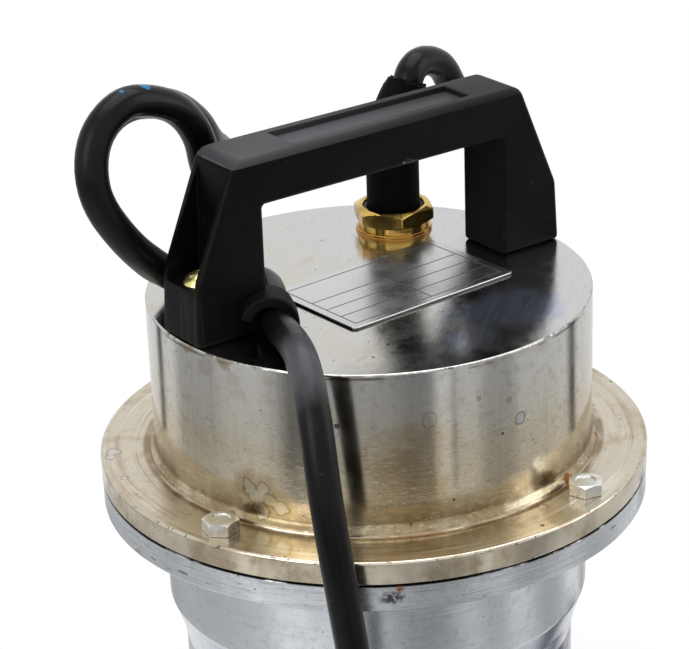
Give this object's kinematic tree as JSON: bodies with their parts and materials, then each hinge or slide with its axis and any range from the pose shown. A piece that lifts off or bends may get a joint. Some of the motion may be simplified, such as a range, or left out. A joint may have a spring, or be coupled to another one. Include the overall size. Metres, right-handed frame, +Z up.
{
  "type": "submersible pump",
  "caption": "Submersible drainage pump: plated head cover with carrying handle and brass cable gland, flanged motor barrel, oil chamber, volute with hose elbow, strainer and power cord.",
  "frame": {"origin": "where the shaft's axis meets the floor that the feet stand on", "axes": "+Z up along the shaft; +X along the carrying handle, towards the discharge; +Y away from the side where the cord comes down"},
  "size_m": [0.2977, 0.3333, 0.3963],
  "materials": {
    "plated_cover": "bright plating, stained with age",
    "zinc_steel": "zinc plated",
    "gasket_sheet": "dark sheet",
    "bare_housing": "satin, turned",
    "black_nylon": "fine texture",
    "yellow_zinc": "yellow passivated zinc",
    "plate_metal": "bright brushed sheet",
    "copper_washer": "soft copper",
    "gland_brass": "turned",
    "seal_rubber": "soft",
    "cable_rubber": "satin",
    "tie_rubber": "matt strap",
    "plug_black": "moulded",
    "pin_brass": "bright",
    "bearing_steel": "ground",
    "cast_bracket": "as cast",
    "spring_steel": "hardened",
    "core_steel": "laminated sheets",
    "winding_copper": "lacquered copper",
    "cage_aluminium": "die cast",
    "small_plastic": "moulded",
    "capacitor_case": "white case",
    "strap_steel": "bent strip",
    "shaft_steel": "ground",
    "cast_iron_wet": "painted casting",
    "painted_iron": "painted casting",
    "ceramic": "lapped ceramic",
    "seal_carbon": "carbon face",
    "strainer_steel": "pressed sheet",
    "foot_rubber": "moulded"
  },
  "bodies": {
    "casing": {"cable_sleeve": "seal_rubber", "capacitor": "capacitor_case", "capacitor_clamp": "strap_steel", "chamber_bolts": "zinc_steel", "coil_ties": "tie_rubber", "cord_coil": "cable_rubber", "cord_plug": "plug_black", "cord_tail": "cable_rubber", "discharge_elbow": "painted_iron", "discharge_gasket": "gasket_sheet", "flange_gasket": "gasket_sheet", "gland_body": "gland_brass", "gland_locknut": "gland_brass", "gland_nut": "gland_brass", "gland_seal": "seal_rubber", "handle": "black_nylon", "handle_screws": "yellow_zinc", "head_cover": "plated_cover", "head_cover_bolts": "zinc_steel", "inner_wiring": "cable_rubber", "lip_seal": "seal_rubber", "lower_bearing_outer": "bearing_steel", "lower_bracket": "cast_bracket", "m4_screws": "zinc_steel", "m5_screws": "zinc_steel", "motor_housing": "bare_housing", "nameplate": "plate_metal", "o_rings": "seal_rubber", "oil_chamber": "painted_iron", "oil_plug": "zinc_steel", "plug_pins": "pin_brass", "power_cord": "cable_rubber", "rubber_feet": "foot_rubber", "seal_seat": "ceramic", "sealing_washers": "copper_washer", "stator_core": "core_steel", "stator_windings": "winding_copper", "strainer": "strainer_steel", "suction_cover": "painted_iron", "terminal_block": "small_plastic", "terminal_screws": "pin_brass", "thermal_protector": "small_plastic", "upper_bearing_outer": "bearing_steel", "upper_bracket": "cast_bracket", "volute_casing": "painted_iron", "wave_spring": "spring_steel"},
    "rotor": {"shaft": "shaft_steel", "rotor_core": "core_steel", "rotor_cage": "cage_aluminium", "upper_bearing_inner": "bearing_steel", "lower_bearing_inner": "bearing_steel", "seal_head": "seal_carbon", "seal_spring": "spring_steel", "seal_circlip": "spring_steel", "impeller": "cast_iron_wet", "impeller_key": "shaft_steel", "impeller_washer": "shaft_steel", "impeller_nut": "shaft_steel"},
    "upper_cage": {"upper_bearing_balls": "bearing_steel"},
    "lower_cage": {"lower_bearing_balls": "bearing_steel"}
  },
  "joints": [
    {"name": "shaft_spin", "type": "hinge", "parent": "casing", "child": "rotor", "pos_m": [0, 0, 0.192], "axis": [0, 0, 1], "continuous": true},
    {"name": "upper_cage_spin", "type": "hinge", "parent": "casing", "child": "upper_cage", "pos_m": [0, 0, 0.2374], "axis": [0, 0, 1], "continuous": true},
    {"name": "lower_cage_spin", "type": "hinge", "parent": "casing", "child": "lower_cage", "pos_m": [0, 0, 0.14], "axis": [0, 0, 1], "continuous": true}
  ],
  "couplings": [
    {"joint": "upper_cage_spin", "follows": "shaft_spin", "ratio": 0.38},
    {"joint": "lower_cage_spin", "follows": "shaft_spin", "ratio": 0.3807}
  ]
}
